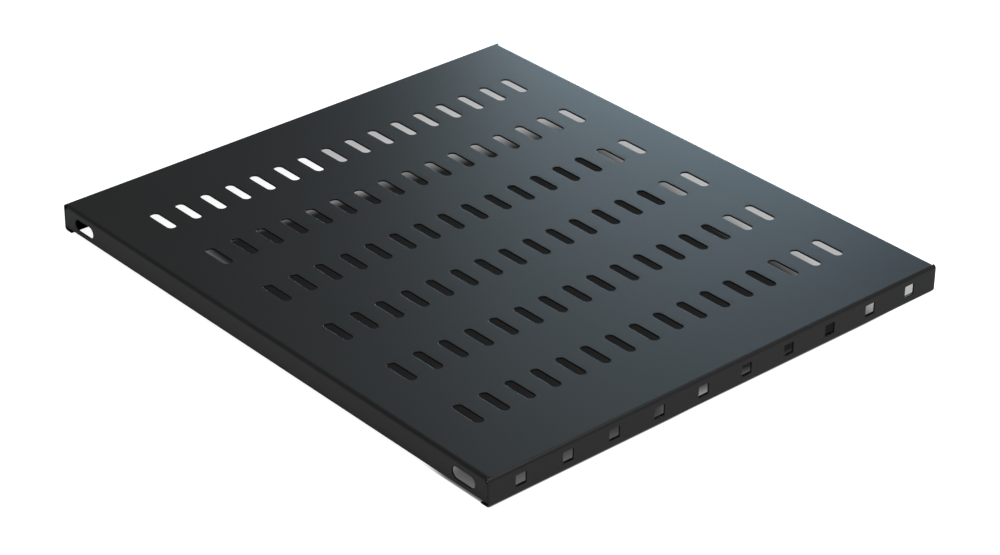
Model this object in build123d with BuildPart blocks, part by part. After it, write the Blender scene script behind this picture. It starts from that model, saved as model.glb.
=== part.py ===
from build123d import *
import os

os.makedirs("parts", exist_ok=True)

# Rack shelf folded from one sheet.
# Origin at the centre of the footprint on the underside, X across the rack,
# Y from front to back, Z up. Millimetres.

# overall size over the outer faces
shelf_width = 465.0
shelf_depth = 525.0
shelf_height = 24.0

# sheet and bends
sheet = 1.5
bend_outer = 3.0

# vent slots in the top, long way front to back
slot_columns = 16
slot_rows = 6
slot_pitch = 25.0
row_pitch = 75.0
slot_length = 30.0
slot_width = 8.0

# square holes in the front and back flanges
square_count = 10
square_pitch = 45.0
square_size = 10.0
square_corner = 0.8

# lips turned in under the front and back flanges
lip_width = 9.0

# long holes for the side screws, one near each end of a side flange
screw_hole_length = 25.0
screw_hole_width = 10.0
screw_hole_inset = 28.0

# clearances left by the folding
seam_gap = 0.3
lip_gap = 1.5
relief_gap = 1.0

# lines that follow from the sizes above
half_width = shelf_width / 2
half_depth = shelf_depth / 2
hole_height = shelf_height / 2
lip_opening = shelf_depth - 2 * lip_width
bend_inner = bend_outer - sheet
bend_line_x = half_width - bend_outer
bend_line_y = half_depth - bend_outer
bend_axis_height = shelf_height - bend_outer
relief_height = bend_axis_height - relief_gap
side_bottom = sheet + lip_gap
side_end = half_depth - sheet - seam_gap
side_bend_end = bend_line_y - relief_gap

with BuildPart() as shelf_tray:
    # closed box section seen from the side, open below between the lips
    with BuildSketch(Plane.YZ) as channel:
        with Locations((0, shelf_height / 2)):
            RectangleRounded(shelf_depth, shelf_height, bend_outer)
            RectangleRounded(
                shelf_depth - 2 * sheet,
                shelf_height - 2 * sheet,
                bend_inner,
                mode=Mode.SUBTRACT,
            )
        with Locations((0, sheet / 2)):
            Rectangle(lip_opening, sheet, mode=Mode.SUBTRACT)
    extrude(amount=half_width, both=True)

    # beside the top panel only the front and back bends reach the full width
    with BuildSketch(Plane.XY.offset(shelf_height)) as beside_top:
        with GridLocations(shelf_width - bend_outer, 1, 2, 1):
            Rectangle(bend_outer, 2 * bend_line_y)
    extrude(amount=-sheet, mode=Mode.SUBTRACT)

    # side bends, with the upper band of each side flange
    with BuildSketch(Plane.XZ) as side_bends:
        with BuildLine():
            outer_arc = CenterArc((bend_line_x, bend_axis_height), bend_outer, 0, 90)
            inner_arc = CenterArc((bend_line_x, bend_axis_height), bend_inner, 0, 90)
            Line(outer_arc @ 1, inner_arc @ 1)
            Polyline(
                outer_arc @ 0,
                (half_width, relief_height),
                (half_width - sheet, relief_height),
                inner_arc @ 0,
            )
        make_face()
        mirror(about=Plane.YZ)
    extrude(amount=side_bend_end, both=True)

    # flat of each side flange, reaching to the front and back flanges
    with BuildSketch(Plane.XZ) as side_flats:
        with Locations((0, (relief_height + side_bottom) / 2)):
            with GridLocations(shelf_width - sheet, 1, 2, 1):
                Rectangle(sheet, relief_height - side_bottom)
    extrude(amount=side_end, both=True)

    # vent slots through the top
    with BuildSketch(Plane.XY.offset(shelf_height)) as slots:
        with GridLocations(slot_pitch, row_pitch, slot_columns, slot_rows):
            SlotOverall(slot_length, slot_width, rotation=90)
    extrude(amount=-sheet, mode=Mode.SUBTRACT)

    # square holes through the front and back flanges
    with BuildSketch(Plane.XZ) as squares:
        with Locations((0, hole_height)):
            with GridLocations(square_pitch, 1, square_count, 1):
                RectangleRounded(square_size, square_size, square_corner)
    extrude(amount=half_depth, both=True, mode=Mode.SUBTRACT)

    # long screw holes through both side flanges
    with BuildSketch(Plane.YZ) as screw_holes:
        with Locations((0, hole_height)):
            with GridLocations(shelf_depth - 2 * screw_hole_inset, 1, 2, 1):
                SlotOverall(screw_hole_length, screw_hole_width)
    extrude(amount=half_width, both=True, mode=Mode.SUBTRACT)

shelf_tray.part.label = "shelf_tray"
export_step(shelf_tray.part, "parts/shelf_tray.step")
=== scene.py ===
"""Dresses the folded rack shelf: rounded sheet edges, a dark powder coat, a pale stage and a camera."""

import math

import bmesh
import bpy
from bpy.props import FloatProperty, FloatVectorProperty, IntProperty, PointerProperty
from bpy.types import Operator, Panel, PropertyGroup
from mathutils import Matrix, Vector


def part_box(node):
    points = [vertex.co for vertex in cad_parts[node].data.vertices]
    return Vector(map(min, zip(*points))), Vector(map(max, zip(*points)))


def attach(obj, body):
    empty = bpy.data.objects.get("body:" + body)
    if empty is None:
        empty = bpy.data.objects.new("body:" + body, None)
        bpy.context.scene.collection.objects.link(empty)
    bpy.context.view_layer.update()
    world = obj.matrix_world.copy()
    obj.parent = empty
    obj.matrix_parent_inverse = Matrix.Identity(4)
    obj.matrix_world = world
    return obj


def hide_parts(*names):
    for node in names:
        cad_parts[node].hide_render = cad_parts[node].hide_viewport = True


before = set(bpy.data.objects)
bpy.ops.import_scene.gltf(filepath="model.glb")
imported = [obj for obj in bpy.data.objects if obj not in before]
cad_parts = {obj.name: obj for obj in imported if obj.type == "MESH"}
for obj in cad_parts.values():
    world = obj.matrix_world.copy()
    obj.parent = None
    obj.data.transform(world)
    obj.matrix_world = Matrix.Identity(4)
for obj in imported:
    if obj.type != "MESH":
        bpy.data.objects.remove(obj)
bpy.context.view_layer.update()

bl_info = {
    "name": "Rack shelf",
    "version": (1, 0, 0),
    "blender": (4, 5, 0),
    "location": "View3D > Sidebar > Shelf",
    "description": "Folds, coats and lights a slotted rack shelf",
    "category": "Object",
}

MM = 0.001
TRAY_NODE = "shelf_tray"
TRAY_LOW, TRAY_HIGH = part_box(TRAY_NODE)

# largest difference allowed between the folded shelf and the plain one
SIZE_ERROR = 0.1 * MM

# steps in each quarter circle: at the ends of the long openings, and at a square hole's corners
SLOT_STEPS = 6
SQUARE_STEPS = 4

# steps in the rounds on the cut edges of the outer and the inner face
OUTER_ROUND_STEPS = 3
INNER_ROUND_STEPS = 1

# a cut edge turns by more than this angle in radians, and lies within this distance of its face
CUT_ANGLE = 1.0
LEVEL_ERROR = 1e-6

# gloss of the coat and of the floor
COAT_SPECULAR = 0.4
FLOOR_SPECULAR = 0.1

# faded areas of the coat to a metre, and how far its pebbles shift the roughness
CLOUDS_PER_METRE = 9.0
ROUGHNESS_SHIFT = (-0.03, 0.05)

# soft marks of the floor's paper to a metre, and the range of its roughness
MARKS_PER_METRE = 40.0
PAPER_ROUGHNESS = (0.75, 0.95)

# softboxes: azimuth and height angle in degrees, distance and sides in metres
KEY_PLACE = (5, 66, 3.2, (2.4, 2.4))
BACK_PLACE = (128, 8, 1.4, (0.55, 0.35))
SIDE_PLACE = (118, 8, 1.4, (0.55, 0.35))

# painted shade on the floor under the shelf, which darkens its colour and glow: centre, half sides, turn,
# soft edge, share of the light kept
PAINTED_FLOOR_SHADE = (
    ((-0.0043, -0.0472, 0), (0.1705, 0.1882, 0), math.radians(-5.2), 0.045, 0),
    ((0.1205, 0.0077, 0), (0.1098, 0.2591, 0), 0, 0.012, 0.49),
    ((-0.1541, -0.235, 0), (0.0958, 0.02, 0), 0, 0.031, 0.162),
)

# width of the band just inside the shelf's outline in which the painted floor shade ends
SHADE_EDGE = 2 * MM


class ShelfSizes(PropertyGroup):
    """Sizes of the sheet, its bends and its openings."""

    sheet: FloatProperty(
        name="Sheet", description="Thickness of the sheet", default=1.5 * MM, subtype="DISTANCE"
    )
    bend_radius: FloatProperty(
        name="Bend radius", description="Radius of a bend over its outer face",
        default=3 * MM, subtype="DISTANCE"
    )
    bend_steps: IntProperty(name="Bend steps", description="Strips in each bend", default=8, min=2)
    lip_width: FloatProperty(
        name="Lip", description="Width of the turned-in lips", default=9 * MM, subtype="DISTANCE"
    )
    lip_gap: FloatProperty(
        name="Lip gap", description="Gap between a side flange and a lip",
        default=1.5 * MM, subtype="DISTANCE"
    )
    seam_gap: FloatProperty(
        name="Seam gap", description="Open seam at each corner", default=0.3 * MM, subtype="DISTANCE"
    )
    relief_gap: FloatProperty(
        name="Relief", description="Slit where two bends meet", default=1 * MM, subtype="DISTANCE"
    )
    slot_columns: IntProperty(name="Slot columns", description="Vent slots in a row", default=16, min=1)
    slot_rows: IntProperty(name="Slot rows", description="Rows of vent slots", default=6, min=1)
    slot_pitch: FloatProperty(
        name="Slot pitch", description="From slot to slot across the shelf",
        default=25 * MM, subtype="DISTANCE"
    )
    row_pitch: FloatProperty(
        name="Row pitch", description="From row to row", default=75 * MM, subtype="DISTANCE"
    )
    slot_length: FloatProperty(
        name="Slot length", description="Vent slot, end to end", default=30 * MM, subtype="DISTANCE"
    )
    slot_width: FloatProperty(
        name="Slot width", description="Vent slot, side to side", default=8 * MM, subtype="DISTANCE"
    )
    square_count: IntProperty(
        name="Square holes", description="Square holes in a flange",
        default=10, min=1
    )
    square_pitch: FloatProperty(
        name="Square pitch", description="From square hole to square hole",
        default=45 * MM, subtype="DISTANCE"
    )
    square_size: FloatProperty(
        name="Square size", description="Side of a square hole", default=10 * MM, subtype="DISTANCE"
    )
    square_corner: FloatProperty(
        name="Square corner", description="Corner radius of a square hole",
        default=0.8 * MM, subtype="DISTANCE"
    )
    screw_hole_length: FloatProperty(
        name="Screw hole length", description="Long hole in a side flange",
        default=25 * MM, subtype="DISTANCE"
    )
    screw_hole_width: FloatProperty(
        name="Screw hole width", description="Height of a long hole", default=10 * MM, subtype="DISTANCE"
    )
    screw_hole_inset: FloatProperty(
        name="Screw hole inset", description="From a long hole's centre to the end",
        default=28 * MM, subtype="DISTANCE"
    )
    outer_round: FloatProperty(
        name="Outer edge", description="Round on the edges of the outer face",
        default=0.5 * MM, subtype="DISTANCE"
    )
    inner_round: FloatProperty(
        name="Inner edge", description="Round on the edges of the inner face",
        default=0.2 * MM, subtype="DISTANCE"
    )


class CoatSettings(PropertyGroup):
    """Colours and texture of the powder coat."""

    coat_colour: FloatVectorProperty(
        name="Coat", description="Main colour of the coat", subtype="COLOR",
        default=(0.0130, 0.0135, 0.0132)
    )
    coat_shift: FloatVectorProperty(
        name="Coat shift", description="Colour in the slightly faded areas", subtype="COLOR",
        default=(0.0146, 0.0151, 0.0148)
    )
    coat_roughness: FloatProperty(
        name="Roughness", description="Roughness of the coat",
        default=0.42, min=0, max=1
    )
    grain_size: FloatProperty(
        name="Grain size", description="Size of the coat's fine pebbles",
        default=0.9 * MM, subtype="DISTANCE"
    )
    grain_depth: FloatProperty(
        name="Grain depth", description="Depth of the coat's fine pebbles",
        default=0.012 * MM, subtype="DISTANCE"
    )


class StageSettings(PropertyGroup):
    """Floor, lamps and camera."""

    floor_size: FloatProperty(
        name="Floor", description="Side of the floor",
        default=14.0, subtype="DISTANCE"
    )
    floor_colour: FloatVectorProperty(
        name="Floor colour", description="Pale colour of the floor", subtype="COLOR",
        default=(0.64, 0.64, 0.64)
    )
    floor_glow: FloatProperty(
        name="Floor glow", description="Glow of the floor in view",
        default=0.94, min=0
    )
    mirrored_glow: FloatProperty(
        name="Mirrored glow", description="Glow of the floor in a reflection", default=0.03, min=0
    )
    # painted shade: the least share of colour and glow left on the floor under the shelf
    painted_shade_floor: FloatProperty(
        name="Darkest floor", description="Share of the light kept in the darkest area under the shelf",
        default=0.014, min=0, max=1
    )
    key_watts: FloatProperty(
        name="Key", description="Power of the big softbox overhead",
        default=70.0, min=0
    )
    back_watts: FloatProperty(
        name="Back", description="Power of the low softbox behind",
        default=6.7, min=0
    )
    back_colour: FloatVectorProperty(
        name="Back colour", description="Colour of the low softbox behind", subtype="COLOR",
        default=(0.67, 0.87, 1.0)
    )
    side_watts: FloatProperty(
        name="Side", description="Power of the low softbox at the right",
        default=0.9, min=0
    )
    side_colour: FloatVectorProperty(
        name="Side colour", description="Colour of the low softbox at the right", subtype="COLOR",
        default=(0.25, 0.65, 1.0)
    )
    air: FloatProperty(name="Air", description="Even light from all around", default=0.15, min=0)
    camera_azimuth: FloatProperty(
        name="Azimuth", description="Camera's turn from the front",
        default=math.radians(-41.507), subtype="ANGLE"
    )
    camera_elevation: FloatProperty(
        name="Elevation", description="Camera's height angle", default=math.radians(30.158), subtype="ANGLE"
    )
    camera_roll: FloatProperty(
        name="Roll", description="Camera's roll", default=math.radians(0.614), subtype="ANGLE"
    )
    camera_distance: FloatProperty(
        name="Distance", description="Camera to the point it looks at", default=2.36374, subtype="DISTANCE"
    )
    camera_aim: FloatVectorProperty(
        name="Aim", description="Point the camera looks at", subtype="TRANSLATION",
        default=(-0.02787, -0.04018, 0.012)
    )
    camera_lens: FloatProperty(name="Lens", description="Focal length in mm", default=108.42)


def opening(bm, centre, length, width, corner, steps):
    """Edges of a hole with round corners, long way along Y, as drawn on the flat sheet."""
    sides = 4 * steps
    radius = corner / math.cos(math.pi / sides)
    turn = Matrix.Rotation(math.pi / sides, 4, "Z")
    made = bmesh.ops.create_circle(bm, segments=sides, radius=radius, matrix=turn)
    for vert in made["verts"]:
        vert.co.x += math.copysign(width / 2 - corner, vert.co.x)
        vert.co.y += math.copysign(length / 2 - corner, vert.co.y)
    bmesh.ops.translate(bm, verts=made["verts"], vec=(*centre, 0))
    return list(dict.fromkeys(edge for vert in made["verts"] for edge in vert.link_edges))


def chain(bm, points):
    """Open run of edges through the given points of the flat sheet."""
    verts = [bm.verts.new((x, y, 0)) for x, y in points]
    return [bm.edges.new(pair) for pair in zip(verts, verts[1:])]


def fill(bm, edges):
    """One face region between an outline and the openings in it."""
    bmesh.ops.triangle_fill(bm, use_beauty=True, edges=edges, normal=(0, 0, 1))


def centred(count, pitch):
    """Places of a centred row."""
    return [(index - (count - 1) / 2) * pitch for index in range(count)]


def row_ends(row):
    """First and last vertex of a run of edges."""
    verts = dict.fromkeys(vert for edge in row for vert in edge.verts)
    return [vert for vert in verts if sum(vert in edge.verts for edge in row) == 1]


def stretch_out(bm, vert, vec):
    """One edge from a vertex to a new one beside it."""
    made = bmesh.ops.extrude_vert_indiv(bm, verts=[vert])
    bmesh.ops.translate(bm, verts=made["verts"], vec=vec)
    return made["edges"][0], made["verts"][0]


def widen(bm, row, amount, way):
    """A row of edges made longer at both ends."""
    added = []
    for vert in row_ends(row):
        sign = math.copysign(amount, vert.co.dot(way))
        added.append(stretch_out(bm, vert, way * sign)[0])
    return row + added


def roll_out(bm, row, vec, steps=1):
    """Plain strips of sheet beyond a row of edges. Gives the last row."""
    for _ in range(steps):
        made = bmesh.ops.extrude_edge_only(bm, edges=row)["geom"]
        verts = [item for item in made if isinstance(item, bmesh.types.BMVert)]
        bmesh.ops.translate(bm, verts=verts, vec=vec / steps)
        new = set(verts)
        row = [item for item in made if isinstance(item, bmesh.types.BMEdge) and new.issuperset(item.verts)]
    return row


def flap(bm, row, vec, openings):
    """A flat of sheet beyond a row of edges, with openings in it. Gives its far edge."""
    sides = [stretch_out(bm, vert, vec) for vert in row_ends(row)]
    far_edge = bm.edges.new([vert for _, vert in sides])
    fill(bm, row + [edge for edge, _ in sides] + [far_edge] + openings)
    return [far_edge]


def fold(bm, outward, line, radius, arc, belongs):
    """Rolls the sheet that lies beyond a line down through a right angle."""
    up = Vector((0, 0, 1))
    for vert in bm.verts:
        across = vert.co.dot(outward)
        past = across - line
        if past <= 0 or not belongs(vert.co):
            continue
        turn = min(past / arc, 1) * math.pi / 2
        beyond = max(past - arc, 0)
        reach = radius + vert.co.z
        away = line + reach * math.sin(turn) + beyond * math.cos(turn)
        height = reach * math.cos(turn) - radius - beyond * math.sin(turn)
        vert.co += outward * (away - across) + up * (height - vert.co.z)


class FlatSheet:
    """Lines of the flat sheet, worked out from the sizes and the size of the folded shelf."""

    def __init__(self, sizes):
        self.half_x = TRAY_HIGH.x
        self.half_y = TRAY_HIGH.y
        self.height = TRAY_HIGH.z
        self.radius = sizes.bend_radius
        self.arc = (sizes.bend_radius - sizes.sheet / 2) * math.pi / 2
        self.bend_x = self.half_x - self.radius
        self.bend_y = self.half_y - self.radius
        self.flange = self.height - 2 * self.radius
        self.lip = sizes.lip_width - self.radius
        self.lip_line = self.bend_y + self.arc + self.flange
        self.side_bend_end = self.bend_y - sizes.relief_gap
        self.side_end = self.half_y - sizes.sheet - sizes.seam_gap
        self.side_flat = self.height - self.radius - sizes.relief_gap - sizes.sheet - sizes.lip_gap
        self.hole_depth = self.height / 2 - self.radius


def cut_blank(bm, sizes, lines):
    """The whole flat sheet with every opening."""
    corners = [
        (sx * lines.bend_x, sy * y)
        for sx, sy, y in (
            (-1, -1, lines.bend_y), (1, -1, lines.bend_y), (1, -1, lines.side_bend_end),
            (1, 1, lines.side_bend_end), (1, 1, lines.bend_y), (-1, 1, lines.bend_y),
            (-1, 1, lines.side_bend_end), (-1, -1, lines.side_bend_end),
        )
    ]
    outline = chain(bm, corners)
    outline.append(bm.edges.new((outline[-1].verts[1], outline[0].verts[0])))
    openings = []
    for x in centred(sizes.slot_columns, sizes.slot_pitch):
        for y in centred(sizes.slot_rows, sizes.row_pitch):
            width = sizes.slot_width
            openings += opening(bm, (x, y), sizes.slot_length, width, width / 2, SLOT_STEPS)
    fill(bm, outline + openings)
    across, along = Vector((1, 0, 0)), Vector((0, 1, 0))
    front_line, right_line, back_line, left_line = outline[::2]
    for way, row in ((-1, front_line), (1, back_line)):
        row = widen(bm, [row], lines.radius, across)
        row = roll_out(bm, row, along * way * lines.arc, sizes.bend_steps)
        y = way * (lines.bend_y + lines.arc + lines.hole_depth)
        holes = []
        for x in centred(sizes.square_count, sizes.square_pitch):
            side = sizes.square_size
            holes += opening(bm, (x, y), side, side, sizes.square_corner, SQUARE_STEPS)
        row = flap(bm, row, along * way * lines.flange, holes)
        row = roll_out(bm, row, along * way * lines.arc, sizes.bend_steps)
        flap(bm, row, along * way * lines.lip, [])
    for way, row in ((1, right_line), (-1, left_line)):
        row = roll_out(bm, [row], across * way * lines.arc, sizes.bend_steps)
        row = roll_out(bm, row, across * way * sizes.relief_gap)
        row = widen(bm, row, lines.side_end - lines.side_bend_end, along)
        x = way * (lines.bend_x + lines.arc + lines.hole_depth)
        holes = []
        for y in centred(2, 2 * (lines.half_y - sizes.screw_hole_inset)):
            width = sizes.screw_hole_width
            holes += opening(bm, (x, y), sizes.screw_hole_length, width, width / 2, SLOT_STEPS)
        flap(bm, row, across * way * lines.side_flat, holes)


def round_edges(bm, height, offset, segments):
    """Rounds every cut edge that lies at one face of the flat sheet."""
    edges = [
        edge for edge in bm.edges
        if edge.calc_face_angle(0) > CUT_ANGLE
        and all(abs(vert.co.z - height) < LEVEL_ERROR for vert in edge.verts)
    ]
    bmesh.ops.bevel(
        bm, geom=edges, offset=offset, offset_type="OFFSET", segments=segments,
        profile=0.5, affect="EDGES", clamp_overlap=True, material=-1,
    )


def fold_blank(bm, sizes, lines):
    """Folds the lips, then the front and back flanges, then the side flanges."""
    slack = sizes.relief_gap / 2

    def in_middle(point):
        return abs(point.x) < lines.half_x + slack

    def in_side(point):
        still_flat = point.z > -2 * sizes.sheet
        return still_flat and (abs(point.y) < lines.bend_y - slack or not in_middle(point))

    for way in (-1, 1):
        outward = Vector((0, way, 0))
        fold(bm, outward, lines.lip_line, lines.radius, lines.arc, in_middle)
        fold(bm, outward, lines.bend_y, lines.radius, lines.arc, in_middle)
    for way in (-1, 1):
        fold(bm, Vector((way, 0, 0)), lines.bend_x, lines.radius, lines.arc, in_side)


def node_maker(tree):
    """Short way to add a node and set its inputs."""
    def make(kind, inputs=None, **settings):
        node = tree.nodes.new(kind)
        for name, value in settings.items():
            setattr(node, name, value)
        for name, value in (inputs or {}).items():
            if isinstance(value, bpy.types.NodeSocket):
                tree.links.new(value, node.inputs[name])
            else:
                node.inputs[name].default_value = value
        return node
    return make


def new_material(name):
    """Empty node material with its output node."""
    material = bpy.data.materials.new(name)
    material.use_nodes = True
    material.node_tree.nodes.clear()
    make = node_maker(material.node_tree)
    return material, make, make("ShaderNodeOutputMaterial")


def coat_group():
    """Fine pebbles and soft clouds of a powder coat, shared by every coated surface."""
    group = bpy.data.node_groups.new("Powder coat texture", "ShaderNodeTree")
    for name, kind, default in (
        ("Grain Size", "NodeSocketFloat", 0.001), ("Grain Depth", "NodeSocketFloat", 0.00001),
    ):
        socket = group.interface.new_socket(name, in_out="INPUT", socket_type=kind)
        socket.default_value = default
    for name, kind in (
        ("Clouds", "NodeSocketFloat"),
        ("Roughness Shift", "NodeSocketFloat"),
        ("Normal", "NodeSocketVector"),
    ):
        group.interface.new_socket(name, in_out="OUTPUT", socket_type=kind)
    make = node_maker(group)
    given, result = make("NodeGroupInput"), make("NodeGroupOutput")
    place = make("ShaderNodeTexCoord").outputs["Object"]
    per_grain = make(
        "ShaderNodeMath", {0: 1.0, 1: given.outputs["Grain Size"]}, operation="DIVIDE"
    ).outputs[0]
    pebbles = make(
        "ShaderNodeTexNoise", {"Vector": place, "Scale": per_grain, "Detail": 2.0, "Roughness": 0.55}
    ).outputs["Fac"]
    clouds = make(
        "ShaderNodeTexNoise", {"Vector": place, "Scale": CLOUDS_PER_METRE, "Detail": 3.0, "Roughness": 0.5}
    ).outputs["Fac"]
    cloud_mask = make(
        "ShaderNodeMapRange", {"Value": clouds, "From Min": 0.35, "From Max": 0.7},
        interpolation_type="SMOOTHSTEP",
    ).outputs["Result"]
    least, most = ROUGHNESS_SHIFT
    shift = make(
        "ShaderNodeMapRange",
        {"Value": pebbles, "From Min": 0.3, "From Max": 0.7, "To Min": least, "To Max": most},
    ).outputs["Result"]
    bump = make(
        "ShaderNodeBump", {"Strength": 1.0, "Distance": given.outputs["Grain Depth"], "Height": pebbles}
    ).outputs["Normal"]
    tree = group.links
    tree.new(cloud_mask, result.inputs["Clouds"])
    tree.new(shift, result.inputs["Roughness Shift"])
    tree.new(bump, result.inputs["Normal"])
    return group


def coat_material(settings):
    """Dark satin powder coat."""
    material, make, output = new_material("Dark powder coat")
    texture = make("ShaderNodeGroup", node_tree=coat_group())
    texture.inputs["Grain Size"].default_value = settings.grain_size
    texture.inputs["Grain Depth"].default_value = settings.grain_depth
    colour = make(
        "ShaderNodeMix",
        {0: texture.outputs["Clouds"], 6: (*settings.coat_colour, 1), 7: (*settings.coat_shift, 1)},
        data_type="RGBA",
    ).outputs[2]
    rough = make(
        "ShaderNodeMath", {0: settings.coat_roughness, 1: texture.outputs["Roughness Shift"]},
        operation="ADD",
    ).outputs[0]
    coat = make(
        "ShaderNodeBsdfPrincipled",
        {"Base Color": colour, "Roughness": rough, "Normal": texture.outputs["Normal"],
         "Specular IOR Level": COAT_SPECULAR},
    )
    material.node_tree.links.new(coat.outputs["BSDF"], output.inputs["Surface"])
    return material


def soft_patch(make, place, centre, half, turn, blur, level):
    """Value on the floor that has the level in a turned rectangle and rises softly to 1 around it."""
    local = make(
        "ShaderNodeMapping", {"Vector": place, "Location": centre, "Rotation": (0, 0, turn)},
        vector_type="TEXTURE",
    ).outputs["Vector"]
    distance = make("ShaderNodeVectorMath", {0: local}, operation="ABSOLUTE").outputs[0]
    distance = make("ShaderNodeVectorMath", {0: distance, 1: half}, operation="SUBTRACT").outputs[0]
    distance = make("ShaderNodeVectorMath", {0: distance, 1: (0, 0, 0)}, operation="MAXIMUM").outputs[0]
    distance = make("ShaderNodeVectorMath", {0: distance}, operation="LENGTH").outputs["Value"]
    return make(
        "ShaderNodeMapRange", {"Value": distance, "From Min": 0.0, "From Max": blur, "To Min": level},
        interpolation_type="SMOOTHSTEP",
    ).outputs["Result"]


def floor_material(settings):
    """Pale floor with the shelf's shadow. It glows where it is looked at, and painted shade darkens its
    colour and glow under the shelf.
    """
    material, make, output = new_material("Pale floor")

    def times(first, second):
        return make("ShaderNodeMath", {0: first, 1: second}, operation="MULTIPLY").outputs[0]

    place = make("ShaderNodeTexCoord").outputs["Object"]
    # painted shade: soft rectangles that darken the floor's colour and glow under the shelf
    painted_shade = 1.0
    for patch in PAINTED_FLOOR_SHADE:
        painted_shade = times(painted_shade, soft_patch(make, place, *patch))
    painted_shade = make("ShaderNodeMath", {0: painted_shade, 1: settings.painted_shade_floor}, operation="MAXIMUM").outputs[0]
    # the painted shade stays inside the shelf's outline
    inside = (TRAY_HIGH.x - SHADE_EDGE, TRAY_HIGH.y - SHADE_EDGE, 0)
    beside = soft_patch(make, place, (0, 0, 0), inside, 0, SHADE_EDGE, 0)
    painted_shade = make("ShaderNodeMix", {0: beside, 2: painted_shade, 3: 1.0}).outputs[0]
    path = make("ShaderNodeLightPath").outputs
    mirrored = make(
        "ShaderNodeMath", {0: path["Is Glossy Ray"], 1: path["Is Transmission Ray"]}, operation="MAXIMUM"
    ).outputs[0]
    seen = make(
        "ShaderNodeMath",
        {0: times(path["Is Camera Ray"], settings.floor_glow), 1: times(mirrored, settings.mirrored_glow)},
        operation="ADD",
    ).outputs[0]
    paper = make(
        "ShaderNodeTexNoise", {"Vector": place, "Scale": MARKS_PER_METRE, "Detail": 3.0, "Roughness": 0.6}
    ).outputs["Fac"]
    least, most = PAPER_ROUGHNESS
    rough = make("ShaderNodeMapRange", {"Value": paper, "To Min": least, "To Max": most}).outputs["Result"]
    # the painted shade darkens the floor's colour and its glow alike
    colour = make(
        "ShaderNodeVectorMath", {0: settings.floor_colour, "Scale": painted_shade}, operation="SCALE"
    ).outputs["Vector"]
    lit = make(
        "ShaderNodeBsdfPrincipled",
        {"Base Color": colour, "Roughness": rough, "Specular IOR Level": FLOOR_SPECULAR,
         "Emission Color": (1, 1, 1, 1), "Emission Strength": times(seen, painted_shade)},
    )
    material.node_tree.links.new(lit.outputs["BSDF"], output.inputs["Surface"])
    return material


def add_object(name, data):
    """Links new data into the scene as an object."""
    item = bpy.data.objects.new(name, data)
    bpy.context.scene.collection.objects.link(item)
    return item


def softbox(name, azimuth, elevation, distance, size, watts, colour=(1, 1, 1)):
    """Four-sided lamp at a distance from the shelf, pointed at its middle."""
    data = bpy.data.lights.new(name, "AREA")
    data.shape = "RECTANGLE"
    data.size, data.size_y = size
    data.energy = watts
    data.color = colour
    lamp = add_object(name, data)
    turn, rise = math.radians(azimuth), math.radians(elevation)
    way = Vector((math.sin(turn) * math.cos(rise), -math.cos(turn) * math.cos(rise), math.sin(rise)))
    lamp.location = way * distance
    lamp.rotation_euler = (-way).to_track_quat("-Z", "Y").to_euler()
    return lamp


def set_world(strength):
    """Even light from all around."""
    world = bpy.data.worlds.new("Studio air")
    world.use_nodes = True
    world.node_tree.nodes.clear()
    make = node_maker(world.node_tree)
    air = make("ShaderNodeBackground", {"Color": (1, 1, 1, 1), "Strength": strength})
    output = make("ShaderNodeOutputWorld")
    world.node_tree.links.new(air.outputs[0], output.inputs["Surface"])
    bpy.context.scene.world = world


def set_camera(settings):
    """Camera where the photo was taken from."""
    data = bpy.data.cameras.new("camera")
    data.sensor_fit = "HORIZONTAL"
    data.sensor_width = 36
    data.lens = settings.camera_lens
    data.clip_end = 100
    camera = add_object("camera", data)
    turn, rise = settings.camera_azimuth, settings.camera_elevation
    way = Vector((math.sin(turn) * math.cos(rise), -math.cos(turn) * math.cos(rise), math.sin(rise)))
    camera.location = Vector(settings.camera_aim) + way * settings.camera_distance
    base = (-way).to_track_quat("-Z", "Y").to_matrix().to_4x4()
    camera.rotation_euler = (base @ Matrix.Rotation(settings.camera_roll, 4, "Z")).to_euler()
    bpy.context.scene.camera = camera


class SHELF_OT_tray(Operator):
    """Builds the folded shelf with rounded sheet edges in place of the plain one."""

    bl_idname = "shelf.tray"
    bl_label = "Build shelf"

    def execute(self, context):
        sizes = context.scene.shelf_sizes
        lines = FlatSheet(sizes)
        bm = bmesh.new()
        cut_blank(bm, sizes, lines)
        bmesh.ops.recalc_face_normals(bm, faces=bm.faces)
        bmesh.ops.solidify(bm, geom=bm.faces[:], thickness=sizes.sheet)
        bmesh.ops.recalc_face_normals(bm, faces=bm.faces)
        round_edges(bm, 0, sizes.outer_round, OUTER_ROUND_STEPS)
        round_edges(bm, -sizes.sheet, sizes.inner_round, INNER_ROUND_STEPS)
        fold_blank(bm, sizes, lines)
        bmesh.ops.translate(bm, verts=bm.verts, vec=(0, 0, lines.height))
        for face in bm.faces:
            face.smooth = True
        mesh = bpy.data.meshes.new("folded_tray")
        bm.to_mesh(mesh)
        bm.free()
        for axis in range(3):
            places = [vert.co[axis] for vert in mesh.vertices]
            error = max(abs(min(places) - TRAY_LOW[axis]), abs(max(places) - TRAY_HIGH[axis]))
            if error > SIZE_ERROR:
                raise RuntimeError("The folded shelf doesn't have the size of the plain one")
        tray = add_object("folded_tray", mesh)
        mesh.materials.append(coat_material(context.scene.shelf_coat))
        shade = tray.modifiers.new("Even shading", "WEIGHTED_NORMAL")
        shade.keep_sharp = True
        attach(tray, "root")
        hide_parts(TRAY_NODE)
        return {"FINISHED"}


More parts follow.
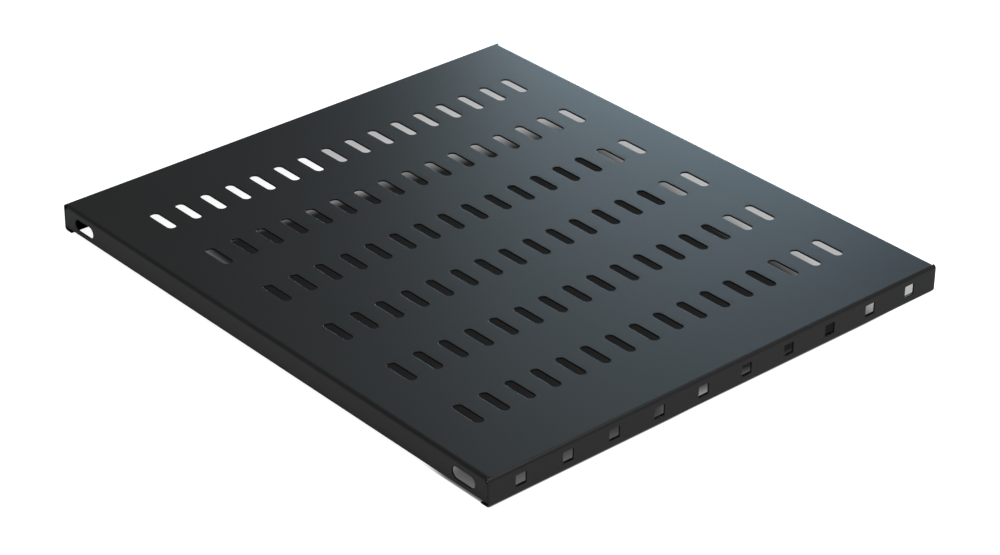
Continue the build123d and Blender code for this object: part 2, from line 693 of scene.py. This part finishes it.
class SHELF_OT_stage(Operator):
    """Sets up the floor, lamps, world and camera."""

    bl_idname = "shelf.stage"
    bl_label = "Set stage"

    def execute(self, context):
        settings = context.scene.shelf_stage
        if "folded_tray" not in context.scene.objects:
            raise RuntimeError("The floor is shaded for the folded shelf, which has to be built first")
        bm = bmesh.new()
        bmesh.ops.create_grid(bm, x_segments=1, y_segments=1, size=settings.floor_size / 2)
        mesh = bpy.data.meshes.new("floor")
        bm.to_mesh(mesh)
        bm.free()
        floor = add_object("floor", mesh)
        mesh.materials.append(floor_material(settings))
        softbox("key_softbox", *KEY_PLACE, settings.key_watts)
        softbox("back_softbox", *BACK_PLACE, settings.back_watts, settings.back_colour)
        softbox("side_softbox", *SIDE_PLACE, settings.side_watts, settings.side_colour)
        set_world(settings.air)
        set_camera(settings)
        context.scene.view_settings.view_transform = "Standard"
        return {"FINISHED"}


class SHELF_PT_panel(Panel):
    """Sizes, coat and stage of the rack shelf."""

    bl_label = "Rack shelf"
    bl_idname = "SHELF_PT_panel"
    bl_space_type = "VIEW_3D"
    bl_region_type = "UI"
    bl_category = "Shelf"

    def draw(self, context):
        scene = context.scene
        for title, settings in (
            ("Sheet", scene.shelf_sizes), ("Coat", scene.shelf_coat), ("Stage", scene.shelf_stage)
        ):
            box = self.layout.box()
            box.label(text=title)
            for name in settings.__annotations__:
                box.prop(settings, name)
        self.layout.operator("shelf.tray")
        self.layout.operator("shelf.stage")


CLASSES = (ShelfSizes, CoatSettings, StageSettings, SHELF_OT_tray, SHELF_OT_stage, SHELF_PT_panel)


def register():
    for item in CLASSES:
        bpy.utils.register_class(item)
    bpy.types.Scene.shelf_sizes = PointerProperty(type=ShelfSizes)
    bpy.types.Scene.shelf_coat = PointerProperty(type=CoatSettings)
    bpy.types.Scene.shelf_stage = PointerProperty(type=StageSettings)


def unregister():
    del bpy.types.Scene.shelf_stage
    del bpy.types.Scene.shelf_coat
    del bpy.types.Scene.shelf_sizes
    for item in reversed(CLASSES):
        bpy.utils.unregister_class(item)


def main():
    register()
    bpy.ops.shelf.tray()
    bpy.ops.shelf.stage()


if __name__ == "__main__":
    main()
